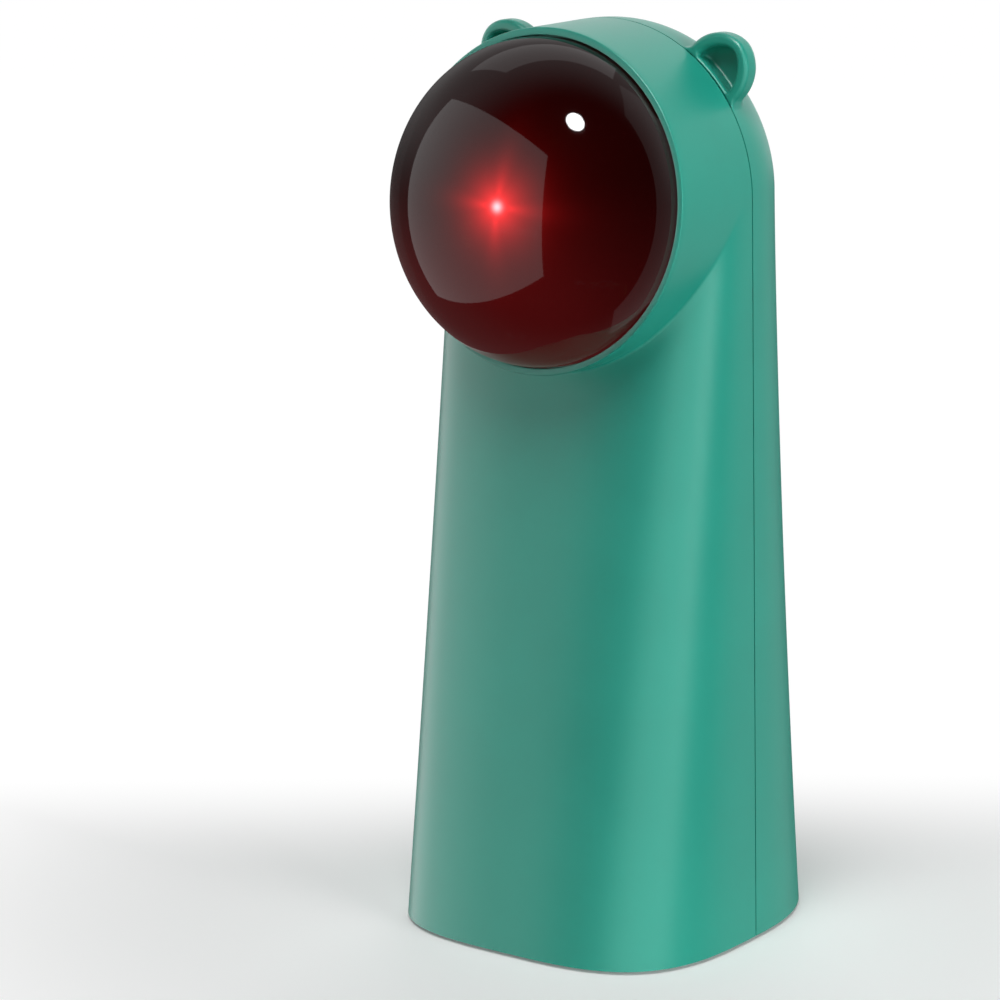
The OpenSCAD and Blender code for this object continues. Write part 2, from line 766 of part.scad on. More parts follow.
module pan_yoke() {
    color("#3a3d40") placed() face() translate([0, pivot_y, 0]) difference() {
        union() {
            block([-arm_out, -arm_half, gear_top], [arm_out, arm_half, yoke_top]);
            for (s = [-1, 1]) {
                block([s > 0 ? arm_in : -arm_out, -arm_half, gear_top],
                    [s > 0 ? arm_out : -arm_in, arm_half, pivot_z]);
                bar_x(arm_half, s > 0 ? arm_in : -arm_out, s > 0 ? arm_out : -arm_in, 0, pivot_z);
                translate([s * peg_at, 0, gear_low]) cylinder(r = 1, h = gear_t + 1);
            }
            block([tilt_motor_low_x + 2, -arm_half, yoke_top - eps],
                [tilt_motor_high_x - 2, arm_half, tilt_motor_z - 0.5]);
        }
        translate([0, 0, gear_low]) cylinder(r = spindle_r, h = gear_t + yoke_t + 0.1);
        bar_x(tilt_motor_r, tilt_motor_low_x - 0.1, tilt_motor_high_x, 0, tilt_motor_z);
        bar_x(tilt_boss_r, -arm_out - 1, -arm_in + 1, 0, tilt_motor_z);
        bar_x(trunnion_r + run_gap, -arm_out - 1, arm_out + 1, 0, pivot_z);
    }
}

module pan_spindle() {
    groove = 0.7;
    color("#c9ccd0") placed() face() translate([0, pivot_y, hub_low - 1.6]) difference() {
        cylinder(r = spindle_r, h = yoke_top - hub_low + 1.6);
        translate([0, 0, 0.7]) difference() {
            cylinder(r = spindle_r + 1, h = groove);
            translate([0, 0, -1]) cylinder(r = spindle_r - 0.5, h = groove + 2);
        }
    }
}

module spindle_clip() {
    color("#8d9095") placed() face() translate([0, pivot_y, hub_low - 0.9]) difference() {
        cylinder(r = spindle_r + 1.3, h = 0.7);
        translate([0, 0, -1]) cylinder(r = spindle_r - 0.5, h = 3);
        block([-0.9, 0, -1], [0.9, 5, 2]);
    }
}

module tilt_motor() {
    color("#b9bcc0") placed() face() translate([0, pivot_y, tilt_motor_z]) difference() {
        union() {
            bar_x(tilt_motor_r, tilt_motor_low_x, tilt_motor_high_x);
            bar_x(tilt_boss_r, -arm_out, tilt_motor_low_x + eps);
            bar_x(1.4, tilt_motor_high_x - eps, tilt_motor_high_x + 1);
        }
        bar_x(tilt_shaft_r + run_gap, -arm_out - 1, tilt_motor_low_x + 4);
    }
}

module tilt_motor_shaft() {
    color("#c9ccd0") placed() face()
        bar_x(tilt_shaft_r, tilt_gear_x - gear_t - 0.3, tilt_motor_low_x + 3.8, pivot_y, tilt_motor_z);
}

module tilt_pinion() {
    color("#d8b25a") placed() face() translate([tilt_gear_x - gear_t, pivot_y, tilt_motor_z])
        facing_x() gear(pinion_teeth, tilt_pinion_phase, tilt_shaft_r);
}

// ---------------------------------------------------------------- laser, which tilts in the yoke

holder_r = laser_d / 2 + 1.6;
holder_l = 9;
laser_tail = 8.5;
lens_r = 2.6;
lens_t = 1.2;

// Frame of the beam: -Y leaves the nose
module along_beam() {
    rotate([aim, 0, 0]) children();
}

module tilt_gear() {
    color("#e8e4d8") at_pivot() translate([tilt_gear_x - gear_t, 0, 0]) facing_x() difference() {
        gear(tilt_teeth, tilt_phase, trunnion_r);
        for (a = [45:90:315]) rotate([0, 0, a]) translate([5.4, 0, -1]) cylinder(r = 1.7, h = gear_t + 2);
    }
}

module laser_holder() {
    color("#4a4d52") at_pivot() difference() {
        union() {
            along_beam() bar_y(holder_r, -holder_l / 2, holder_l / 2);
            bar_x(2.8, -arm_in + 0.3, arm_in - 0.3);
            bar_x(trunnion_r, tilt_gear_x - gear_t - 0.3, arm_out);
        }
        along_beam() bar_y(laser_d / 2, -holder_l, holder_l);
    }
}

module laser_barrel() {
    color("#c9a24e") at_pivot() along_beam() difference() {
        union() {
            bar_y(laser_d / 2, -nose_reach + 0.5, laser_tail);
            translate([0, -nose_reach, 0]) rotate([-90, 0, 0])
                cylinder(r1 = laser_d / 2 - 0.5, r2 = laser_d / 2, h = 0.5);
        }
        bar_y(lens_r, -nose_reach - 1, -nose_reach + lens_t + 0.6);
        bar_y(1.6, -nose_reach, -nose_reach + 6);
        bar_y(laser_d / 2 - 0.8, laser_tail - 2, laser_tail + 1);
    }
}

module laser_lens() {
    color("#ff6a5a") at_pivot() along_beam()
        bar_y(lens_r, -nose_reach + 0.6, -nose_reach + 0.6 + lens_t);
}

module laser_driver_board() {
    color("#1f5a3a") at_pivot() along_beam()
        bar_y(laser_d / 2 - 0.8, laser_tail - 2, laser_tail - 1);
}

// ---------------------------------------------------------------- electronics

switch_h = 3.7;
switch_w = 6;
plunger_r = 1.7;
flange_t = 1.2;
flange_r = button_hole_r + 1.2;
button_back = pad_y - flange_t;
led_h = 1.4;

module main_board() {
    color("#1f5a3a") placed() difference() {
        block([-board_w / 2, board_y, board_z], [board_w / 2, board_back, board_z + board_h]);
        for (s = [-1, 1], z = board_hole_z) bar_y(board_screw_r + hole_gap, board_y - 1, board_back + 1,
            s * board_hole_x, z);
    }
}

// A part on the front of the main board: its middle as shares of the board, then its size
module chip(x_share, z_share, w, h, t) {
    translate([x_share * board_w, board_y - t, board_z + z_share * board_h])
        block([-w / 2, 0, -h / 2], [w / 2, t, h / 2]);
}

module board_chips() {
    can_r = 2.5;
    can_l = 6;
    color("#202224") placed() {
        chip(0, 0.53, 10, 10, 1.6);
        chip(-0.22, 0.22, 6, 5, 1.2);
        chip(0.15, 0.19, 6, 6, 3);
        for (s = [-1, 1]) chip(s * 0.2, 0.88, 8, 6, 5);
        bar_y(can_r, board_y - can_l, board_y, -board_w / 3, board_z + board_h * 0.45);
    }
}

module board_screws() {
    color("#9a9da0") placed()
        for (s = [-1, 1]) {
            for (z = board_hole_z) translate([s * board_hole_x, board_y, z]) rotate([-90, 0, 0])
                screw(board_screw_r, board_screw_l);
            translate([s * charge_hole_x, charge_hole_y, charge_top]) mirror([0, 0, 1])
                screw(board_screw_r, board_screw_l);
        }
}

// The charging board lies level on two posts of the base plate and carries the socket on its edge
charge_back = port_mouth - 1.8;
charge_top = port_z - port_h / 2;
charge_hole_x = charge_w / 2 - 3;
charge_hole_y = charge_back - charge_d + 4;
charge_post_r = 3;

module charge_board() {
    color("#1f5a3a") placed() difference() {
        union() {
            block([-charge_w / 2, charge_back - charge_d, charge_top - board_t],
                [charge_w / 2, charge_back, charge_top]);
            block([-4, charge_back - charge_d * 0.8, charge_top],
                [3, charge_back - charge_d * 0.5, charge_top + 1.2]);
        }
        for (s = [-1, 1]) translate([s * charge_hole_x, charge_hole_y, 0])
            cylinder(r = board_screw_r + hole_gap, h = overall_h);
    }
}

module charging_socket() {
    back = port_mouth - port_l;
    color("#b9bcc0") placed() {
        difference() {
            slot_y(port_w, port_h, back, port_mouth, port_z);
            slot_y(port_w - 0.6, port_h - 0.6, back + 1, port_mouth + 1, port_z);
        }
        block([-3.3, back + 1 - eps, port_z - 0.35], [3.3, port_mouth - 0.8, port_z + 0.35]);
    }
}

module power_switch() {
    color("#2b2d30") placed() difference() {
        block([-switch_w / 2, board_back, button_z - switch_w / 2],
            [switch_w / 2, board_back + switch_h, button_z + switch_w / 2]);
        bar_y(plunger_r + run_gap, board_back + switch_h - 2.4, board_back + switch_h + 1, 0, button_z);
    }
}

module switch_plunger() {
    color("#c8c8c4") placed()
        bar_y(plunger_r, board_back + switch_h - 1.5, button_back, 0, button_z);
}

module power_button() {
    out = rear_at(button_z) + button_out;
    color("#2f9c84") placed() {
        bar_y(flange_r, button_back, pad_y, 0, button_z);
        bar_y(button_r, pad_y - eps, out - 0.5, 0, button_z);
        translate([0, out - 0.5, button_z]) rotate([-90, 0, 0])
            cylinder(r1 = button_r, r2 = button_r - 0.5, h = 0.5);
    }
}

module status_led() {
    color("#e9e6da") placed() {
        block([-1.6, board_back, light_z - 0.8], [1.6, board_back + led_h, light_z + 0.8]);
    }
}

module light_pipe() {
    color("#dfe8ea") placed()
        bar_y(light_r, board_back + led_h + 0.3, rear_at(light_z) + 0.1, 0, light_z);
}

// ---------------------------------------------------------------- battery

cell_r = cell_d / 2;
cell_y = -14;
cradle_low = stand + plate_t;
cradle_wall = 1.6;
cell_low = cradle_low + cradle_wall;

module battery_cell() {
    color("#3f6fb0") placed() translate([0, cell_y, cell_low]) {
        cylinder(r = cell_r, h = cell_l - 1);
        translate([0, 0, cell_l - 1]) cylinder(r = cell_r * 0.32, h = 1);
    }
}

module battery_cradle() {
    outer = cell_r + slide_gap + cradle_wall;
    color("#1d1f20") placed() translate([0, cell_y, cradle_low]) difference() {
        union() {
            cylinder(r = outer, h = cell_l * 0.8);
            block([-outer - 4, -6, 0], [outer + 4, 3, 1.6]);
        }
        translate([0, 0, cradle_wall]) cylinder(r = cell_r + slide_gap, h = cell_l);
        block([-outer - 1, 3, cradle_wall], [outer + 1, outer + 1, cell_l]);
        translate([0, 0, cell_l * 0.4]) rotate([90, 0, 0]) cylinder(r = 6, h = 40);
    }
}

front_shell();
rear_shell();
base_plate();
rubber_feet();
base_screws();
back_screws();
dome();
mechanism_frame();
frame_screws();
pan_motor();
motor_screws();
pan_motor_shaft();
pan_pinion();
idler_pin();
idler_gear();
pan_bush();
pan_gear();
pan_yoke();
pan_spindle();
spindle_clip();
tilt_motor();
tilt_motor_shaft();
tilt_pinion();
tilt_gear();
laser_holder();
laser_barrel();
laser_lens();
laser_driver_board();
main_board();
board_chips();
board_screws();
charge_board();
charging_socket();
power_switch();
switch_plunger();
power_button();
status_led();
light_pipe();
battery_cell();
battery_cradle();
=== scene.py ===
"""Looks of an automatic cat laser toy: two moulded green shells with cat ears, and a dark red dome."""
import math

import bmesh
import bpy
import numpy as np
from mathutils import Matrix, Vector


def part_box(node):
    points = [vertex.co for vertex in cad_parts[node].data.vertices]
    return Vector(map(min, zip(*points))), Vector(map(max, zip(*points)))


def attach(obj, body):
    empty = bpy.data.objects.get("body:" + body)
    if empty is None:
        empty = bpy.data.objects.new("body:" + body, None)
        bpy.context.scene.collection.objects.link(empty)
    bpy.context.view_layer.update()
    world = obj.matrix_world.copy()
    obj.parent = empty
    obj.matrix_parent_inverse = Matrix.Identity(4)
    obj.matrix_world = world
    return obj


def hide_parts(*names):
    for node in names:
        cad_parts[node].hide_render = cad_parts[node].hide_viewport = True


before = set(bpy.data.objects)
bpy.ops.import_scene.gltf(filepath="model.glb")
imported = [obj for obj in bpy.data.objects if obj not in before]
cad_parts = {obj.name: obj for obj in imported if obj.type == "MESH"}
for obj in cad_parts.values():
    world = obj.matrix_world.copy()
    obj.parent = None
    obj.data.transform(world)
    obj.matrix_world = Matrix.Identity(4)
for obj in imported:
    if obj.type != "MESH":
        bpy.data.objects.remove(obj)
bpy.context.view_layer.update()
MM = 0.001

# ---- Photographer's camera ---------------------------------------------------------------------
# The toy is seen from its front right with a long lens, a little above the head. The place was
# fitted to the outlines of the tower, collar and dome. Lengths are from the seam's foot, in mm.

seam_gap = 0.35
seam_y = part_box("rear_shell")[0].y / MM - seam_gap

azimuth = math.radians(36.34)
elevation = math.radians(13.01)
distance = 805.6
aim_left = -23.79
aim_height = 93.05
roll = math.radians(-0.41)

back = Vector((math.sin(azimuth) * math.cos(elevation), -math.cos(azimuth) * math.cos(elevation),
               math.sin(elevation)))
level = Vector((math.cos(azimuth), math.sin(azimuth), 0))
upright = back.cross(level)
turned = level * math.cos(roll) + upright * math.sin(roll)
upright = upright * math.cos(roll) - level * math.sin(roll)
aimed_at = Vector((aim_left * level.x, aim_left * level.y + seam_y, aim_height))

camera = bpy.data.objects.new("camera", bpy.data.cameras.new("camera"))
camera.matrix_world = Matrix.Translation((aimed_at + back * distance) * MM) @ Matrix(
    (turned, upright, back)).transposed().to_4x4()
camera.data.sensor_width = 36
camera.data.lens = 131.54
camera.data.shift_x = -0.0005
camera.data.shift_y = 0.0054
camera.data.clip_start = 0.01
bpy.context.scene.collection.objects.link(camera)
bpy.context.scene.camera = camera
bpy.context.scene.view_settings.view_transform = "Standard"

# ---- Shader sums -------------------------------------------------------------------------------
# Wire stands for one output of a material's nodes, so that a finish can be written as a sum. Sizes
# in a finish are in millimetres on the piece, and so are the steps of its grain.


class Wire:
    def __init__(self, tree, socket=None):
        self.tree = tree
        self.socket = socket

    def node(self, kind, settings=None, sockets=None, out=0):
        """The output of a new node. Settings are set first, then the sockets, by name or number."""
        made = self.tree.nodes.new(kind)
        for name, value in (settings or {}).items():
            setattr(made, name, value)
        for name, value in (sockets or {}).items():
            if isinstance(value, Wire):
                self.tree.links.new(value.socket, made.inputs[name])
            else:
                made.inputs[name].default_value = value
        return Wire(self.tree, made.outputs[out])

    def maths(self, operation, *values):
        return self.node("ShaderNodeMath", {"operation": operation}, dict(enumerate(values)))

    def __add__(self, other):
        return self.maths("ADD", self, other)

    def __sub__(self, other):
        return self.maths("SUBTRACT", self, other)

    def __rsub__(self, other):
        return self.maths("SUBTRACT", other, self)

    def __mul__(self, other):
        return self.maths("MULTIPLY", self, other)

    def __pow__(self, other):
        return self.maths("POWER", self, other)

    __radd__ = __add__
    __rmul__ = __mul__

    def between(self, low, high):
        """0 below low, 1 above high, and a smooth step between."""
        return self.node("ShaderNodeMapRange", {"interpolation_type": "SMOOTHSTEP"},
                         {"Value": self, "From Min": low, "From Max": high})

    def blend(self, first, second):
        """The first colour where this is 0 and the second where it is 1."""
        return self.node("ShaderNodeMix", {"data_type": "RGBA"}, {0: self, 6: first, 7: second}, out=2)

    def fading(self, rate):
        """1 where this is 0, falling off at a rate where it grows."""
        return self.maths("EXPONENT", self * -rate)

    def vector(self, operation, *values, out=0):
        return self.node("ShaderNodeVectorMath", {"operation": operation}, dict(enumerate(values)), out)

    def noise(self, scale, detail):
        """Clouds over this place, or grain where the scale is fine."""
        return self.node("ShaderNodeTexNoise", None, {"Vector": self, "Scale": scale, "Detail": detail})

    def bump(self, strength, distance):
        """Normals as if this stood up from the surface."""
        return self.node("ShaderNodeBump", None, {"Height": self, "Strength": strength, "Distance": distance})


def colour(hexcode):
    """A photographed colour as the linear one that a shader takes."""
    parts = [int(hexcode[i:i + 2], 16) / 255 for i in (0, 2, 4)]
    return (*[c / 12.92 if c <= 0.04045 else ((c + 0.055) / 1.055) ** 2.4 for c in parts], 1)


def grey(level):
    """A colour between black at 0 and white at 1."""
    return (level, level, level, 1)


def new_finish(name):
    """An empty material, the place on the object in millimetres, and the shader."""
    made = bpy.data.materials.new(name)
    made.use_nodes = True
    place = Wire(made.node_tree).node("ShaderNodeTexCoord", out=3)
    place = place.vector("SCALE", place)
    place.socket.node.inputs["Scale"].default_value = 1 / MM
    return made, place, made.node_tree.nodes["Principled BSDF"]


def give(shader, sockets):
    """Sets the shader's own sockets, and links those that vary over the surface."""
    for name, value in sockets.items():
        if isinstance(value, Wire):
            value.tree.links.new(value.socket, shader.inputs[name])
        else:
            shader.inputs[name].default_value = value


# ---- Studio ------------------------------------------------------------------------------------
# A pale table runs out into a white surround. A soft lamp hangs over the front, another stands at
# the right and a weak one behind. White cards give the shells, the dome and the works their sheen.

on_shells = bpy.data.collections.new("on_shells")
on_dome = bpy.data.collections.new("on_dome")
on_works = bpy.data.collections.new("on_works")


def lamp(name, turn, rise, far, wide, tall, power):
    """A flat lamp that faces the head from a compass turn and a rise, both in degrees."""
    light = bpy.data.lights.new(name, "AREA")
    light.shape = "RECTANGLE" if wide != tall else "DISK"
    light.size = wide
    if wide != tall:
        light.size_y = tall
    light.energy = power
    made = bpy.data.objects.new(name, light)
    turn, rise = math.radians(turn), math.radians(rise)
    way = Vector((math.sin(turn) * math.cos(rise), -math.cos(turn) * math.cos(rise), math.sin(rise)))
    made.location = Vector((0, 0, 0.12)) + way * far
    made.rotation_mode = "QUATERNION"
    made.rotation_quaternion = way.to_track_quat("Z", "Y")
    made.visible_glossy = False
    bpy.context.scene.collection.objects.link(made)
    return made


def card(name, turn, rise, wide, tall, white, seen_on):
    """A white card one metre away that only shows as a sheen, on the pieces of one collection."""
    made = lamp(name, turn, rise, 1.0, wide, tall, white * math.pi * wide * tall)
    made.visible_glossy = True
    made.visible_diffuse = False
    made.light_linking.receiver_collection = seen_on
    made.light_linking.blocker_collection = seen_on


lamp("key", 20, 59, 1.5, 0.9, 0.9, 13)
lamp("side", 80, 3, 1.5, 0.8, 0.8, 19)
lamp("rear", 205, 22, 1.5, 1.2, 1.2, 6.5)
card("window", -39, 1, 2.0, 1.7, 0.8, on_dome)
card("high_window", -137, 57, 1.05, 0.5, 0.4, on_dome)
card("right_window", 135, -4, 1.1, 3.6, 0.2, on_dome)
card("round_window", 28.3, 55.2, 0.2, 0.2, 30, on_dome)
card("glint_card", 30, 56, 0.4, 0.4, 22, on_shells)
card("left_card", -70, -4, 1.5, 1.2, 2.5, on_shells)
card("corner_card", 50, -6, 1.5, 1.2, 1.9, on_shells)
card("right_card", 150, 0, 1.0, 1.2, 0.6, on_shells)
card("rear_card", 216, 32, 2.2, 1.4, 1.0, on_shells)
card("works_left", -50, 25, 1.6, 1.6, 0.9, on_works)
card("works_right", 75, 30, 1.2, 1.6, 1.1, on_works)
card("works_rear", 190, 10, 1.6, 1.2, 0.8, on_works)

surround_level = 0.07
overhead_level = 0.24
world = bpy.data.worlds.new("surround")
bpy.context.scene.world = world
world.use_nodes = True
sky = Wire(world.node_tree)
way = sky.node("ShaderNodeTexCoord")
behind = way.vector("DOT_PRODUCT", way, (-back.x, -back.y, 0), out=1).between(-0.35, 0.35)
overhead = way.vector("DOT_PRODUCT", way, (0, 0, 1), out=1).between(-0.1, 0.35)
seen = sky.node("ShaderNodeLightPath")
glossy = Wire(world.node_tree, seen.socket.node.outputs["Is Glossy Ray"])
reflected = (behind * (overhead * overhead_level + surround_level)).blend(grey(0), grey(1))
give(world.node_tree.nodes["Background"],
     {"Color": seen.blend(glossy.blend(grey(surround_level), reflected), grey(1))})

table_fades = (80, 210)
back_fades = (20, 110)
table_glow = 0.14
floor_mesh = bpy.data.meshes.new("floor")
floor_shape = bmesh.new()
bmesh.ops.create_circle(floor_shape, cap_ends=True, segments=96, radius=6)
floor_shape.to_mesh(floor_mesh)
floor = bpy.data.objects.new("floor", floor_mesh)
floor_finish, place, shader = new_finish("floor_paint")
outward = place.vector("LENGTH", place, out=1)
beyond = place.vector("DOT_PRODUCT", place, (-math.sin(azimuth), math.cos(azimuth), 0), out=1)
far_off = place.maths("MAXIMUM", outward.between(*table_fades), beyond.between(*back_fades))
seen = place.node("ShaderNodeLightPath")
near_tone = seen.blend(grey(0.9), grey(0.88))
far_tone = seen.blend(grey(0.4), grey(0.02))
white_out = (far_off * (1 - table_glow) + table_glow) * seen
give(shader, {"Base Color": far_off.blend(near_tone, far_tone), "Roughness": 0.9, "Specular IOR Level": 0.0,
              "Emission Color": white_out.blend(grey(0), grey(1)), "Emission Strength": 1})
floor_mesh.materials.append(floor_finish)
floor.visible_glossy = False
bpy.context.scene.collection.objects.link(floor)

# ---- Front shell -------------------------------------------------------------------------------
# One moulding of satin green plastic. The sloping front of the tower runs up into a level round
# collar, which is cut off along a leaning rim and stepped inside for the dome to seat on.

head_z = 163.3
head_r = 36.7
base_half = 39.3
front_depth = 40.7
front_top_depth = 17.05
front_corner = 3.25
wall = 2.2
stand = 0.8
collar_reach = 26.1
collar_r = 36.4
face_lean = math.radians(6.3)
bore_r = 35.0
lip_r = 32.55
seat = 4.1
lip_end = 6.0
rim_round = 0.35
crease_round = 1.0
crease_share = 0.3
edge_round = 0.15
columns = 128
tower_rises = 60
over_steps = 120
middle_z = 80
middle_front = 30


def even_turns(width, depth, power, count):
    """Angles that step evenly along half a level section, from side to side."""
    fine = np.linspace(0, math.pi / 2, 8001)
    x, y = width * np.cos(fine) ** (2 / power), depth * np.sin(fine) ** (2 / power)
    run = np.concatenate([[0], np.cumsum(np.hypot(np.diff(x), np.diff(y)))])
    quarter = np.interp(np.linspace(0, run[-1], count // 2 + 1), run, fine)
    return np.concatenate([quarter, math.pi - quarter[-2::-1]])


def section(turns, width, depth, power):
    """Points of a squared ellipse: how far out to the side, and how far from the seam."""
    side = np.sign(np.cos(turns)) * np.abs(np.cos(turns)) ** (2 / power)
    return width * side, depth * np.abs(np.sin(turns)) ** (2 / power)


def half_width(z):
    """Half the tower's width at a height."""
    return base_half + (head_r - base_half) * z / head_z


def front_face(turns, z, inset):
    """Points of the sloping front at a height, or of a face that lies so far inside it."""
    depth = front_depth + (front_top_depth - front_depth) * z / head_z
    x, y = section(turns, half_width(z) - inset, depth - inset, front_corner)
    return np.stack([x, -y, np.broadcast_to(z, x.shape)], -1)


def collar_radius(y):
    """The collar narrows a little towards its rim."""
    return head_r + (head_r - collar_r) / collar_reach * y


def meeting(turns, inset):
    """Where the tower's face runs into the underside of the collar."""
    low, high = np.full(turns.shape, head_z - head_r), np.full(turns.shape, head_z)
    for _ in range(50):
        z = (low + high) / 2
        p = front_face(turns, z, inset)
        outside = np.hypot(p[:, 0], z - head_z) > collar_radius(p[:, 1]) - inset
        low, high = np.where(outside, z, low), np.where(outside, high, z)
    return front_face(turns, high, inset)


def leaning(x, y, z):
    """Row points from the face's own frame: its origin is the rim's middle, and -Y leaves the dome."""
    y, z = np.broadcast_arrays(y, z)
    level_y = y * math.cos(face_lean) + z * math.sin(face_lean) - collar_reach
    level_z = z * math.cos(face_lean) - y * math.sin(face_lean) + head_z
    return np.stack([np.broadcast_to(x, y.shape), level_y, level_z], -1)


def on_collar(theta, depth_behind, inset):
    """A point of the level collar on the plane that lies so far behind the leaning rim."""
    y = np.full(theta.shape, -collar_reach)
    for _ in range(8):
        height = (collar_radius(y) - inset) * np.sin(theta)
        y = (depth_behind + height * math.sin(face_lean)) / math.cos(face_lean) - collar_reach
    r = collar_radius(y) - inset
    return np.stack([r * np.cos(theta), y, r * np.sin(theta) + head_z], -1)


def straight(first, last, steps, ends=True):
    """Rows of points from first to last."""
    share = np.linspace(0, 1, steps + 1)[:, None, None]
    rows = first * (1 - share) + last * share
    return list(rows if ends else rows[1:])


def rounded(first, corner, last, steps=4):
    """Rows round a corner, without the first one."""
    share = np.linspace(0, 1, steps + 1)[1:, None, None]
    return list(first * (1 - share) ** 2 + corner * 2 * share * (1 - share) + last * share ** 2)


def toward(point, other, run):
    """The point that lies so far from one towards the other."""
    way = other - point
    return point + way * np.minimum(run / np.maximum(np.linalg.norm(way, axis=-1), 1e-9), 0.5)[..., None]


def crisp(shape, mesh, sharp=35):
    """Writes a shape into its mesh, smooth all over but for the corners that are sharp, in degrees."""
    for face in shape.faces:
        face.smooth = True
    for edge in shape.edges:
        edge.smooth = edge.calc_face_angle(0) < math.radians(sharp)
    shape.to_mesh(mesh)


class Skin:
    """Rows of points joined into faces, in millimetres from the seam's foot."""

    def __init__(self):
        self.points = []
        self.faces = []

    def rows(self, rows):
        """Adds rows of points and returns their numbers."""
        rows = np.asarray(rows, float)
        first = len(self.points)
        self.points.extend(rows.reshape(-1, 3))
        return first + np.arange(rows.shape[0] * rows.shape[1]).reshape(rows.shape[:2])

    def join(self, numbers, closed=False):
        """Four-cornered faces between neighbouring rows."""
        numbers = np.asarray(numbers)
        if closed:
            numbers = np.concatenate([numbers, numbers[:, :1]], 1)
        for a, b in zip(numbers[:-1], numbers[1:]):
            self.faces.extend(zip(a[:-1], a[1:], b[1:], b[:-1]))

    def piece(self, name, finish, body, slot=None, replaces=(), sharp=35, lit_by=None):
        """The object, welded, with its normals out and its corners sharp."""
        mesh = bpy.data.meshes.new(name)
        shift = np.array([0, seam_y, 0])
        mesh.from_pydata([tuple(p) for p in (np.array(self.points) + shift) * MM], [],
                         [tuple(int(i) for i in f) for f in self.faces])
        shape = bmesh.new()
        shape.from_mesh(mesh)
        bmesh.ops.remove_doubles(shape, verts=shape.verts, dist=2e-6)
        bmesh.ops.dissolve_degenerate(shape, edges=shape.edges, dist=1e-7)
        bmesh.ops.recalc_face_normals(shape, faces=shape.faces)
        crisp(shape, mesh, sharp)
        mesh.materials.append(finish)
        made = bpy.data.objects.new(name, mesh)
        bpy.context.scene.collection.objects.link(made)
        if lit_by:
            lit_by.objects.link(made)
        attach(made, body)
        if replaces:
            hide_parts(*replaces)
        return made


def soften(piece, width, steps=2):
    """Rounds the piece's sharp edges by a width in millimetres."""
    bevel = piece.modifiers.new("soft_edges", "BEVEL")
    bevel.width = width * MM
    bevel.segments = steps
    bevel.limit_method = "ANGLE"
    bevel.angle_limit = math.radians(35)
    bevel.harden_normals = True


def toned(base, share):
    """A colour made deeper or paler by a share."""
    return [min(1, c * share) for c in base[:3]] + [1]


def moulded(name, base, rough=0.36, grain=0.04):
    """Satin plastic from a lightly sparked mould: faint clouds in its colour and a fine grain."""
    finish, place, shader = new_finish(name)
    clouds, specks = place.noise(0.035, 3), place.noise(2.6, 2)
    give(shader, {"Base Color": clouds.between(0.3, 0.7).blend(toned(base, 0.97), toned(base, 1.03)),
                  "Roughness": rough + clouds * 0.04 + specks * 0.03, "Normal": specks.bump(grain, 0.0002)})
    return finish


shell_green = moulded("shell_green", colour("1d9481"))

turns = even_turns(half_width(middle_z), middle_front, front_corner, columns)
crease = meeting(turns, 0)
inner_crease = meeting(turns, wall)
below = front_face(turns, crease[:, 2] - 2, 0)
forward = on_collar(np.arctan2(crease[:, 2] - head_z, crease[:, 0]), 0, 0)
round_off = np.minimum(crease_round, crease_share * np.abs(crease[:, 1]))
crease_start = toward(crease, below, round_off)
crease_end = toward(crease, forward, round_off)
crease_start[[0, -1]] = crease[[0, -1]]
crease_end[[0, -1]] = crease[[0, -1]]

over = np.linspace(0, math.pi, over_steps + 1)[:-1]
under = np.arctan2(crease[::-1, 2] - head_z, crease[::-1, 0]) % (2 * math.pi)
under[0], under[-1] = math.pi, 2 * math.pi
theta = np.concatenate([over, under[:-1]])


def on_arch(r):
    """Points of the head's arch at the seam."""
    return np.stack([r * np.cos(over), 0 * over, r * np.sin(over) + head_z], -1)


def on_round(r, y):
    """Points of a circle round the dome's axis."""
    return leaning(r * np.cos(theta), y, r * np.sin(theta))


outer_back = np.concatenate([on_arch(head_r), crease_end[::-1][:-1]])
inner_back = np.concatenate([on_arch(head_r - wall), inner_crease[::-1][:-1]])
outer_rim, inner_rim = on_collar(theta, 0, 0), on_round(bore_r, 0)
collar_rows = straight(outer_back, toward(outer_rim, outer_back, rim_round), 12)
collar_rows += rounded(collar_rows[-1], outer_rim, toward(outer_rim, inner_rim, rim_round))
collar_rows += straight(collar_rows[-1], toward(inner_rim, outer_rim, rim_round), 1, ends=False)
collar_rows += rounded(collar_rows[-1], inner_rim, on_round(bore_r, rim_round))
collar_rows += straight(collar_rows[-1], on_round(bore_r, seat), 3, ends=False)
collar_rows += straight(collar_rows[-1], on_round(lip_r, seat), 1, ends=False)
collar_rows += straight(collar_rows[-1], on_round(lip_r, lip_end), 1, ends=False)
collar_rows += straight(collar_rows[-1], on_collar(theta, lip_end, wall), 1, ends=False)
collar_rows += straight(collar_rows[-1], inner_back, 6, ends=False)


def up_the_face(top, count, inset):
    """Rows up the tower's face, from its foot to just below the points of its top."""
    return [front_face(turns, stand + (top[:, 2] - stand) * k / count, inset) for k in range(count)]


tower_rows = up_the_face(crease_start, tower_rises, 0)
tower_rows += [crease_start] + rounded(crease_start, crease, crease_end)
inner_rows = up_the_face(inner_crease, len(tower_rows) - 1, wall) + [inner_crease]

skin = Skin()
collar = skin.rows(collar_rows)
tower = skin.rows(tower_rows)
lining = skin.rows(inner_rows)
skin.join(collar, closed=True)
skin.join(tower)
skin.join(lining)
skin.join([tower[0], lining[0]])
skin.join([collar[0, :len(over) + 1], collar[-1, :len(over) + 1]])
for end in (0, -1):
    skin.join([tower[:, end], lining[:, end]])
front_shell = skin.piece("front_shell_skin", shell_green, "housing", "shell_green", ["front_shell"],
                         lit_by=on_shells)
soften(front_shell, edge_round)

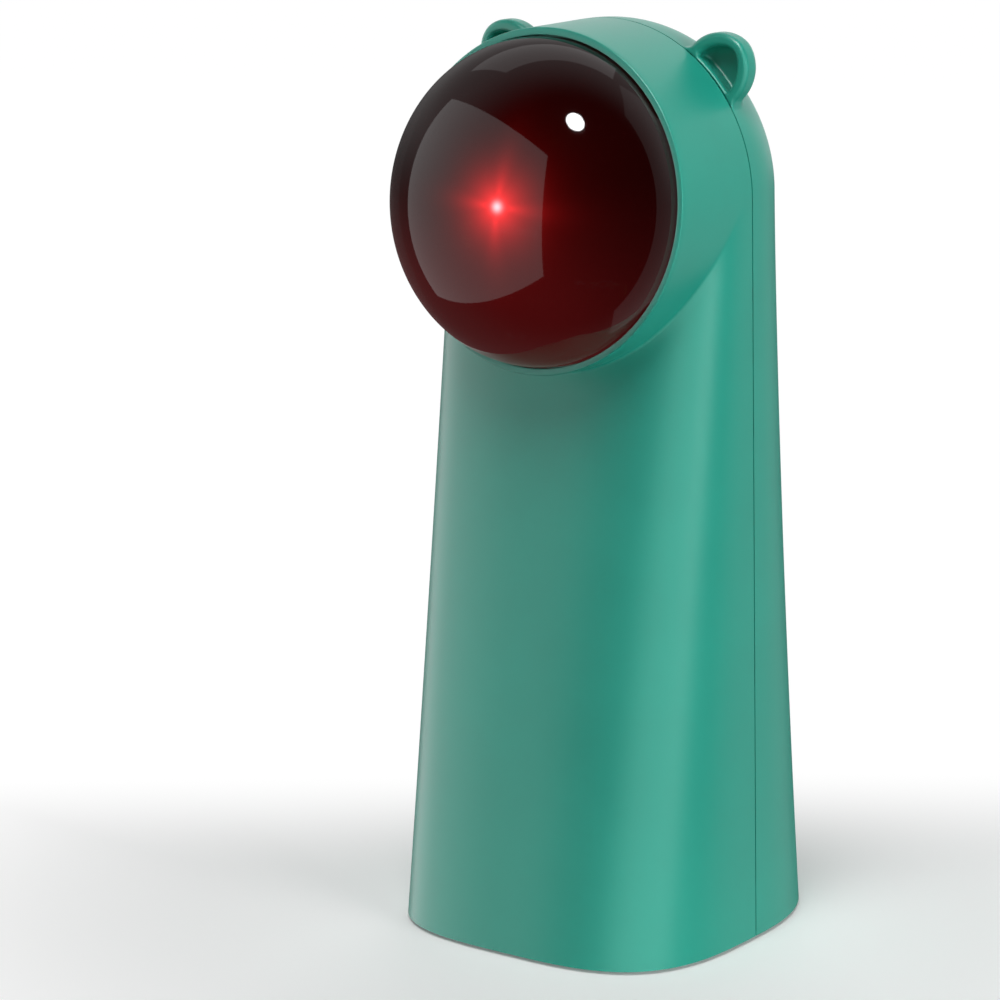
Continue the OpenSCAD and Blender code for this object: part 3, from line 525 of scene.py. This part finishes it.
# ---- Rear shell --------------------------------------------------------------------------------
# The other moulding of the same green plastic. Its back curves up and over into the arched head,
# and holes in it take the power button, the light, the charging port and two deep screws.

rear_depth = 42.8
rear_top_depth = 26.6
rear_corner = 2.5
rear_curve = 1.4
rear_rises = 72
rear_fans = 96
middle_rear = 34
button_z = 52
button_hole_r = 5.0
button_hole_edge = 0.25
light_z = 66
light_hole_r = 1.5
light_hole_edge = 0.15
port_z = 20
port_hole_r = 1.85
port_hole_wide = 5.7
port_recess_r = 3.35
port_recess = 1.0
back_screw_z = 104
back_screw_x = 22
back_screw_hole_r = 3.0
back_screw_depth = 12
cut_depth = 8


def rear_reach(z):
    """How far the back stands behind the seam at a height."""
    return rear_top_depth + (rear_depth - rear_top_depth) * (1 - z / head_z) ** rear_curve


def rear_face(turns, z, inset):
    """Points of the back at a height, or of a face that lies so far inside it."""
    x, y = section(turns, half_width(z) - inset, rear_reach(z) - inset, rear_corner)
    return np.stack([x, np.maximum(y, seam_gap), np.full(x.shape, z)], -1)


def rear_skin(skin, turns, inset):
    """Adds one surface of the back: level rows up to the head, then a fan over it."""
    rows = skin.rows([rear_face(turns, z, inset) for z in np.linspace(stand, head_z, rear_rises + 1)])
    skin.join(rows)
    middle = len(turns) // 2
    out, y = section(turns[:middle], head_r - inset, rear_top_depth - inset, rear_corner)
    y = np.maximum(y, seam_gap)
    around = [math.pi * k / rear_fans for k in range(1, rear_fans)]
    fan = skin.rows([np.stack([out * math.cos(a), y, out * math.sin(a) + head_z], -1) for a in around])
    fan = np.concatenate([rows[-1:, :middle], fan, rows[-1:, :middle:-1]])
    fan = np.concatenate([fan, np.full((len(fan), 1), rows[-1, middle])], 1)
    skin.join(fan)
    return np.concatenate([rows[:, 0], fan[1:-1, 0], rows[::-1, -1]]), rows[0]


skin = Skin()
turns = even_turns(half_width(middle_z), middle_rear, rear_corner, columns)
outer_edge, outer_foot = rear_skin(skin, turns, 0)
inner_edge, inner_foot = rear_skin(skin, turns, wall)
skin.join([outer_edge, inner_edge])
skin.join([outer_foot, inner_foot])
rear_shell = skin.piece("rear_shell_skin", shell_green, "housing", "shell_green", ["rear_shell"],
                        lit_by=on_shells)


def cutter(profile, x, z, wide=0.0):
    """A hidden tool that cuts along Y: pairs of radius and depth, drawn out sideways by wide."""
    around = np.linspace(0, 2 * math.pi, 49)[:-1]
    ends = np.where(np.cos(around) > 0, wide / 2, -wide / 2)
    made = Skin()
    rows = made.rows([np.stack([r * np.cos(around) + ends + x, 0 * around + y, r * np.sin(around) + z], -1)
                      for r, y in profile])
    made.join(rows, closed=True)
    made.faces.append(tuple(rows[0]))
    made.faces.append(tuple(rows[-1]))
    tool = made.piece("cutter", shell_green, "housing")
    cut = rear_shell.modifiers.new("hole", "BOOLEAN")
    cut.operation = "DIFFERENCE"
    cut.solver = "EXACT"
    cut.object = tool
    return tool


def flared(r, z, edge):
    """A hole's profile, with its mouth eased by a small cone."""
    mouth = rear_reach(z)
    return [(r, mouth - cut_depth), (r, mouth - edge), (r + edge, mouth), (r + edge * 4, mouth + 3 * edge)]


def recessed(z):
    """The charging port's profile: a slot at the foot of a shallow recess with an eased mouth."""
    mouth = rear_reach(z)
    return [(port_hole_r, mouth - cut_depth), (port_hole_r, mouth - port_recess + 0.01),
            (port_recess_r, mouth - port_recess), (port_recess_r, mouth - 0.2),
            (port_recess_r + 0.25, mouth + 0.1), (port_recess_r + 1.25, mouth + 1.1)]


def plain(r, z, depth):
    """A straight hole's profile."""
    return [(r, rear_reach(z) - depth), (r, rear_reach(z) + 3)]


tools = [cutter(flared(button_hole_r, button_z, button_hole_edge), 0, button_z),
         cutter(flared(light_hole_r, light_z, light_hole_edge), 0, light_z),
         cutter(recessed(port_z), 0, port_z, port_hole_wide)]
tools += [cutter(plain(back_screw_hole_r, back_screw_z, back_screw_depth), side * back_screw_x, back_screw_z)
          for side in (-1, 1)]
bpy.context.view_layer.objects.active = rear_shell
bpy.context.view_layer.update()
depsgraph = bpy.context.evaluated_depsgraph_get()
cut_mesh = bpy.data.meshes.new_from_object(rear_shell.evaluated_get(depsgraph))
shape = bmesh.new()
shape.from_mesh(cut_mesh)
crisp(shape, cut_mesh)
rear_shell.modifiers.clear()
rear_shell.data = cut_mesh
for tool in tools:
    bpy.data.objects.remove(tool)

# ---- Ears --------------------------------------------------------------------------------------
# Two cupped cat ears are moulded with the rear shell, just behind the seam. Each is a thick round
# loop with a closed back, hollowed out from the front, and its feet flare into the head.

ear_angle = math.radians(45)
ear_half = 7.7
ear_high = 9.8
ear_round = 1.8
ear_front = 0.3
ear_depth = 5.9
ear_wall = 2.4
ear_edge = 1.1
ear_back_round = 3.0
ear_flare = 1.6
ear_root = 1.3
ear_sunk = 0.008
ear_sill = 0.5
ear_sill_deep = 1.3
ear_sill_slope = 1.2
ear_sill_round = 0.7
hollow_depth = 4.3
hollow_round = 2.0
hollow_floor = 0.06
ear_room_low = (head_r - 3.2, -12.5, -0.4)
ear_room_high = (head_r + 11.5, 12.5, 9.2)
ear_mesh_step = 0.25


def both(a, b, r):
    """The inside of both forms, with a round edge where they cross."""
    return np.minimum(np.maximum(a, b), -r) + np.hypot(np.maximum(a + r, 0), np.maximum(b + r, 0))


def either(a, b, r):
    """The two forms together, with a round fillet between them."""
    return np.maximum(np.minimum(a, b), r) - np.hypot(np.maximum(r - a, 0), np.maximum(r - b, 0))


def arch(u, v, half, high, power):
    """Distance, near enough, to an arch over the head: u stands off it and v goes round it."""
    u, v = np.maximum(u, 0) / high, np.abs(v) / half
    k = np.maximum((u ** power + v ** power) ** (1 / power), 0.05)
    slope = k ** (1 - power) * np.hypot(u ** (power - 1) / high, v ** (power - 1) / half)
    return (k - 1) / np.maximum(slope, 0.5 / high)


def ear_form(out, along, back):
    """Distance to an ear and the head under it: out and along cross the ear, back goes behind it."""
    reach = np.hypot(out, along)
    u, v = reach - head_r, np.arctan2(along, out) * head_r
    share = np.clip(back / rear_top_depth, 0, 0.95)
    head = reach - head_r * (1 - share ** rear_corner) ** (1 / rear_corner) + ear_sunk
    ear = both(arch(u, v, ear_half, ear_high, ear_round), back - ear_front - ear_depth, ear_back_round)
    ear = both(ear, ear_front - back, ear_edge)
    drop = np.clip((back - ear_sill_deep) / ear_sill_slope, 0, 1)
    floor_level = ear_sill - (ear_sill - hollow_floor) * drop
    hollow = arch(u, v, ear_half - ear_wall, ear_high - ear_wall, ear_round - 0.2)
    hollow = both(hollow, back - ear_front - hollow_depth, hollow_round)
    hollow = both(hollow, floor_level - u, ear_sill_round)
    solid = both(either(ear, head, ear_flare), -hollow, ear_edge)
    return np.maximum(np.maximum(solid, seam_gap - back), head_r - ear_root - reach)


def surface_of(form, low, high, step):
    """A net of faces over the surface where form is 0, its points pulled onto that surface."""
    axes = [np.arange(a, b + step, step) for a, b in zip(low, high)]
    inside = form(*np.meshgrid(*axes, indexing="ij")) < 0
    cells = np.zeros([n - 1 for n in inside.shape], int)
    for corner in np.ndindex(2, 2, 2):
        cells += inside[tuple(slice(c, n - 1 + c) for c, n in zip(corner, inside.shape))]
    active = np.argwhere((cells > 0) & (cells < 8))
    number = np.full(cells.shape, -1)
    number[tuple(active.T)] = np.arange(len(active))
    points = np.array(low) + (active + 0.5) * step
    for _ in range(8):
        slope = np.stack([(form(*(points + shift).T) - form(*(points - shift).T)) / 0.02
                          for shift in np.eye(3) * 0.01], -1)
        move = -form(*points.T)[:, None] * slope / np.maximum((slope ** 2).sum(-1), 0.05)[:, None]
        points += np.clip(move, -step * 0.4, step * 0.4)
    faces = []
    for axis in range(3):
        one, two = [a for a in range(3) if a != axis]
        near = [slice(1, n - 1) for n in inside.shape]
        near[axis] = slice(0, inside.shape[axis] - 1)
        far = list(near)
        far[axis] = slice(1, inside.shape[axis])
        for at in np.argwhere(inside[tuple(near)] != inside[tuple(far)]) + [n.start for n in near]:
            ring = []
            for da, db in ((0, 0), (1, 0), (1, 1), (0, 1)):
                cell = at.copy()
                cell[one] -= da
                cell[two] -= db
                ring.append(number[tuple(cell)])
            faces.append(ring)
    return points, faces


ear_points, ear_faces = surface_of(ear_form, ear_room_low, ear_room_high, ear_mesh_step)
for side, name in ((1, "right_ear"), (-1, "left_ear")):
    skin = Skin()
    out, along, depth = ear_points.T
    x = (out * math.cos(ear_angle) - along * math.sin(ear_angle)) * side
    z = out * math.sin(ear_angle) + along * math.cos(ear_angle) + head_z
    skin.points = list(np.stack([x, depth, z], -1))
    skin.faces = ear_faces
    skin.piece(name, shell_green, "housing", "shell_green", sharp=70, lit_by=on_shells)

# ---- Dome --------------------------------------------------------------------------------------
# A deep red see-through cap of polished plastic, two millimetres thick, flattened like a lens.
# Its skirt drops into the collar and seats on the lip. Where the laser shines through its front, its red glow
# is painted into the dome's emission.

dome_r = 34.75
dome_reach = 24.2
dome_wall = 2.0
skirt = 4.0
# The middle of the painted laser glow on the dome's outer face.
painted_glow_centre = Vector((6.69, -49.72 + seam_y, 165.78)) * MM


def cap(skin, r, reach, foot, around=192, bands=72):
    """Half an egg in the face's frame, with a straight skirt, from its rim to its pole."""
    spin = np.linspace(0, 2 * math.pi, around + 1)[:-1]
    rises = np.linspace(0, math.pi / 2, bands + 1)[:-1]
    rows = [leaning(r * np.cos(spin), foot, r * np.sin(spin))]
    rows += [leaning(r * math.cos(b) * np.cos(spin), -reach * math.sin(b), r * math.cos(b) * np.sin(spin))
             for b in rises]
    rows = skin.rows(rows)
    skin.join(rows, closed=True)
    pole = skin.rows([leaning(np.zeros(1), -reach, np.zeros(1))])[0, 0]
    skin.faces.extend((a, b, pole) for a, b in zip(rows[-1], np.roll(rows[-1], -1)))
    return rows[0]


skin = Skin()
dome_foot = cap(skin, dome_r, dome_reach, skirt)
inner_dome_foot = cap(skin, dome_r - dome_wall, dome_reach - dome_wall, skirt)
skin.join([dome_foot, inner_dome_foot], closed=True)
dome_red, place, shader = new_finish("dome_red")
# Painted light: a red starburst with a pale core round the laser's spot and a red haze over the lower dome,
# all as emission.
off = place.vector("SUBTRACT", place, tuple(painted_glow_centre / MM))
parts = off.node("ShaderNodeSeparateXYZ", None, {0: off})
across, along, rise = [Wire(parts.tree, socket) for socket in parts.socket.node.outputs]
away = off.vector("LENGTH", off, out=1)
angle = place.maths("ARCTAN2", rise, across)
painted_rays = (place.maths("COSINE", angle * 4 + 0.3) * 0.5 + 0.5) ** 6
painted_burst = away.fading(0.31) * 1.9 + painted_rays * away.fading(0.24) * 0.6
painted_core = (away * away).fading(0.9)
# A faint wide painted glow round the spot.
low = away.fading(0.07) * 0.045
painted_haze = (1 - rise.between(-22, 8)) * (1 - across.between(8, 30) * 0.6) * 0.045
red = painted_burst + low + painted_haze
pale = painted_core * 0.75 + painted_burst * 0.02 + painted_haze * 0.06
glow = place.node("ShaderNodeCombineXYZ", None, {0: red, 1: pale, 2: pale * 1.1})
give(shader, {"Base Color": colour("140202"), "Roughness": 0.04, "IOR": 1.49, "Alpha": 0.94,
              "Emission Color": glow, "Emission Strength": 1})
skin.piece("dome_cap", dome_red, "housing", "dome_red", ["dome"], lit_by=on_dome)

# ---- Base plate and feet -----------------------------------------------------------------------
# The tray that closes the tower from below: fine textured plastic, a shade darker than the shells,
# with a wall that plugs into them. Four black rubber feet are glued into its corners.


def dress(finish, *names):
    """Gives a finish to pieces that keep the shape they were built with."""
    for name in names:
        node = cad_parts[name]
        node.data.materials.clear()
        node.data.materials.append(finish)
        on_works.objects.link(node)


def rubber(name, base):
    """Matt rubber: pale dust in its pores and a pebbled skin."""
    finish, place, shader = new_finish(name)
    dust, pores = place.noise(0.5, 4), place.noise(5.0, 2)
    give(shader, {"Base Color": dust.between(0.45, 0.8).blend(base, toned(base, 1.8)),
                  "Roughness": 0.78 + dust * 0.15, "Normal": pores.bump(0.3, 0.0003)})
    return finish


dress(moulded("base_green", colour("187a69"), 0.48, 0.12), "base_plate")
dress(rubber("foot_rubber", colour("1d1f20")), "rubber_feet")

# ---- Screws ------------------------------------------------------------------------------------
# Pan head screws with cross recesses, zinc plated. They hold the base plate, the two shells, the
# bulkhead, the drive motor and the main board.


def plated(name, base, rough):
    """Plated steel: a bright skin, cloudy where the plating is thin, with tiny pits."""
    finish, place, shader = new_finish(name)
    clouds, pits = place.noise(0.45, 3), place.noise(6.0, 2)
    give(shader, {"Base Color": clouds.between(0.35, 0.7).blend(toned(base, 0.8), base), "Metallic": 1.0,
                  "Roughness": rough + clouds * 0.1 + pits.between(0.5, 0.8) * 0.1,
                  "Normal": pits.bump(0.08, 0.0001)})
    return finish


zinc = plated("zinc_plate", colour("b9bcc0"), 0.24)
dress(zinc, "base_screws", "back_screws", "frame_screws", "motor_screws", "board_screws", "spindle_clip")

# ---- Mechanism frame ---------------------------------------------------------------------------
# A black bulkhead behind the dome, cupped to clear the laser, with a shelf that carries the drive.
# It is one moulding, screwed to four posts in the front shell.

dress(moulded("frame_black", colour("232527"), 0.42, 0.1), "mechanism_frame")

# ---- Side to side drive ------------------------------------------------------------------------
# A geared motor hangs under the shelf. Its brass pinion turns a nylon idler on a steel pin, and the
# idler turns the big nylon gear under the yoke, on a spindle in a sintered bronze bush.


def drawn(name, base, rough, grain):
    """Metal drawn or turned to size: its fine lines run across the longer stretch of the grain."""
    finish, place, shader = new_finish(name)
    lines = place.vector("MULTIPLY", place, grain).noise(1.0, 3)
    clouds = place.noise(0.2, 2)
    bright = (lines * 0.6 + clouds * 0.4).between(0.35, 0.65)
    give(shader, {"Base Color": bright.blend(toned(base, 0.82), base), "Metallic": 1.0,
                  "Roughness": rough + lines * 0.14, "Normal": lines.bump(0.1, 0.0001)})
    return finish


def nylon(name, base):
    """Natural nylon: waxy and slightly see-through, a little yellower in its clouds."""
    finish, place, shader = new_finish(name)
    clouds, swirls = place.noise(0.15, 3), place.noise(1.4, 2)
    warm = [base[0], base[1] * 0.95, base[2] * 0.84, 1]
    give(shader, {"Base Color": clouds.between(0.35, 0.65).blend(base, warm),
                  "Roughness": 0.4 + swirls * 0.12, "Normal": swirls.bump(0.06, 0.0002)})
    return finish


def sintered(name, base):
    """Pressed and sintered bronze, dark in its oily pores."""
    finish, place, shader = new_finish(name)
    pores = place.node("ShaderNodeTexVoronoi", None, {"Vector": place, "Scale": 3.0})
    oil = place.noise(0.3, 3)
    bright = pores.between(0.0, 0.3) * oil.between(0.2, 0.5)
    give(shader, {"Base Color": bright.blend(toned(base, 0.45), base), "Metallic": 1.0,
                  "Roughness": 0.38 + oil * 0.15, "Normal": pores.bump(0.25, 0.0002)})
    return finish


motor_can = drawn("motor_can", colour("c2c5ca"), 0.2, (4.0, 4.0, 0.1))
ground_steel = drawn("ground_steel", colour("cfd1d6"), 0.14, (0.4, 0.4, 7.0))
cut_brass = drawn("cut_brass", colour("d6ae55"), 0.22, (1.5, 1.5, 6.0))
white_nylon = nylon("white_nylon", colour("e8e4d6"))
dress(motor_can, "pan_motor")
dress(ground_steel, "pan_motor_shaft", "idler_pin", "pan_spindle")
dress(cut_brass, "pan_pinion")
dress(white_nylon, "idler_gear", "pan_gear")
dress(sintered("oily_bronze", colour("b98a3d")), "pan_bush")

# ---- Yoke --------------------------------------------------------------------------------------
# A dark grey fork that stands on the big gear and swings with it. It carries the laser between its
# arms, and the small motor that tilts the laser.

dress(moulded("yoke_grey", colour("36393c"), 0.4, 0.08), "pan_yoke")

# ---- Up and down drive -------------------------------------------------------------------------
# A small round motor lies across the yoke. The brass pinion on its shaft drives the nylon gear that
# is pressed onto the laser holder's pivot.

dress(motor_can, "tilt_motor")
dress(drawn("thin_shaft", colour("cfd1d6"), 0.14, (7.0, 0.4, 0.4)), "tilt_motor_shaft")
dress(drawn("small_pinion", colour("d6ae55"), 0.22, (6.0, 1.5, 1.5)), "tilt_pinion")
dress(white_nylon, "tilt_gear")

# ---- Laser -------------------------------------------------------------------------------------
# A turned brass barrel sits in a grey plastic holder. The lens glows red in its mouth, and a tiny
# driver board is soldered to its tail.


def glowing_lens(name):
    """A red lens, brightest where the light comes through its middle."""
    finish, place, shader = new_finish(name)
    middle = sum(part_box("laser_lens"), Vector()) / 2 / MM
    away = place.vector("DISTANCE", place, tuple(middle), out=1)
    ripple = place.noise(1.2, 2)
    hot = (away * away).fading(0.35) + ripple * 0.05
    give(shader, {"Base Color": ripple.blend(colour("8f1210"), colour("b01a16")), "IOR": 1.49,
                  "Roughness": 0.06 + ripple * 0.04, "Emission Strength": 1.0,
                  "Emission Color": hot.blend((0.25, 0.004, 0.004, 1), (1.0, 0.35, 0.3, 1))})
    return finish


def circuit_board(name, mask, across, up):
    """A board under green solder mask: paler copper tracks, and dark gaps between them."""
    finish, place, shader = new_finish(name)
    along_board = place.vector("DOT_PRODUCT", place, across, out=1)
    up_board = place.vector("DOT_PRODUCT", place, up, out=1)
    flat = place.node("ShaderNodeCombineXYZ", None, {0: along_board, 1: up_board})
    tracks = place.node("ShaderNodeTexBrick", {"offset": 0.35, "squash": 0.7, "squash_frequency": 3},
                        {"Vector": flat, "Color1": grey(0), "Color2": grey(0), "Mortar": grey(1),
                         "Scale": 0.5, "Brick Width": 2.6, "Row Height": 0.7, "Mortar Size": 0.05,
                         "Mortar Smooth": 0.2})
    weave = place.noise(3.0, 2)
    tone = tracks * 0.7 + weave * 0.3
    give(shader, {"Base Color": tone.blend(mask, toned(mask, 2.2)),
                  "Roughness": 0.3 + weave * 0.12, "Normal": tone.bump(0.2, 0.0002)})
    return finish


dress(moulded("holder_grey", colour("474a4e"), 0.4, 0.08), "laser_holder")
dress(drawn("turned_brass", colour("cfa24a"), 0.2, (1.0, 7.0, 1.0)), "laser_barrel")
dress(glowing_lens("glowing_lens"), "laser_lens")
dress(circuit_board("driver_mask", colour("1c5a3a"), (1, 0, 0), (0, 0.4, 0.9)), "laser_driver_board")

# ---- Boards ------------------------------------------------------------------------------------
# The main board stands against posts in the rear shell and carries the controller, the switch and
# the light. A small charging board lies in the base plate, behind the charging port.

dress(circuit_board("main_mask", colour("1b5837"), (1, 0, 0), (0, 0, 1)), "main_board")
dress(circuit_board("charge_mask", colour("1b5837"), (1, 0, 0), (0, 1, 0)), "charge_board")
dress(moulded("moulded_epoxy", colour("1e2022"), 0.5, 0.16), "board_chips")
dress(drawn("socket_shell", colour("c2c5ca"), 0.2, (0.2, 5.0, 5.0)), "charging_socket")

# ---- Switch and button -------------------------------------------------------------------------
# A push switch on the main board, with a white plunger. The green button floats in the rear shell
# in front of it, and the plunger pushes it back out.

dress(moulded("switch_black", colour("26282b"), 0.4, 0.1), "power_switch")
dress(moulded("plunger_white", colour("c9c9c4"), 0.38, 0.05), "switch_plunger")
dress(shell_green, "power_button")

# ---- Light -------------------------------------------------------------------------------------
# A surface mounted lamp on the main board, and a clear rod that takes its light out through the
# back of the rear shell.


def cast_resin(name, base, glow, through):
    """Clear resin with faint flow lines, lit from within."""
    finish, place, shader = new_finish(name)
    flow = place.vector("MULTIPLY", place, (1, 0.2, 1)).noise(0.9, 2)
    give(shader, {"Base Color": flow.blend(base, toned(base, 0.85)), "IOR": 1.49,
                  "Roughness": 0.08 + flow * 0.08, "Transmission Weight": through,
                  "Emission Color": flow.blend(glow, toned(glow, 0.8)), "Emission Strength": 0.35})
    return finish


dress(cast_resin("lamp_resin", colour("ece6d6"), (0.9, 0.85, 0.7, 1), 0.0), "status_led")
dress(cast_resin("clear_rod", colour("e6eeee"), (0.5, 0.55, 0.5, 1), 0.5), "light_pipe")

# ---- Battery -----------------------------------------------------------------------------------
# One round cell in a blue shrink sleeve, which folds over its ends and leaves bare steel in the
# middle of each. It is clipped upright into a black cradle on the base plate.


def sleeved(name, sleeve, steel):
    """Shrunk plastic over steel: bare inside a ring at each end, and finely creased where it folds."""
    finish, place, shader = new_finish(name)
    low, high = [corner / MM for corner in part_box("battery_cell")]
    off = place.vector("SUBTRACT", place, tuple((low + high) / 2))
    away = off.vector("LENGTH", off.vector("MULTIPLY", off, (1, 1, 0)), out=1)
    bare = 1 - away.between(6.3, 6.5)
    creases = off.vector("MULTIPLY", off, (1, 1, 0.05)).noise(0.8, 2)
    creased = creases.blend(sleeve, toned(sleeve, 1.2))
    give(shader, {"Base Color": bare.blend(creased, steel), "Metallic": bare,
                  "Roughness": 0.2 + creases * 0.12, "Normal": creases.bump(0.1, 0.0003)})
    return finish


dress(sleeved("blue_sleeve", colour("2f5f9e"), colour("b4b7bb")), "battery_cell")
dress(moulded("cradle_black", colour("1f2122"), 0.45, 0.1), "battery_cradle")
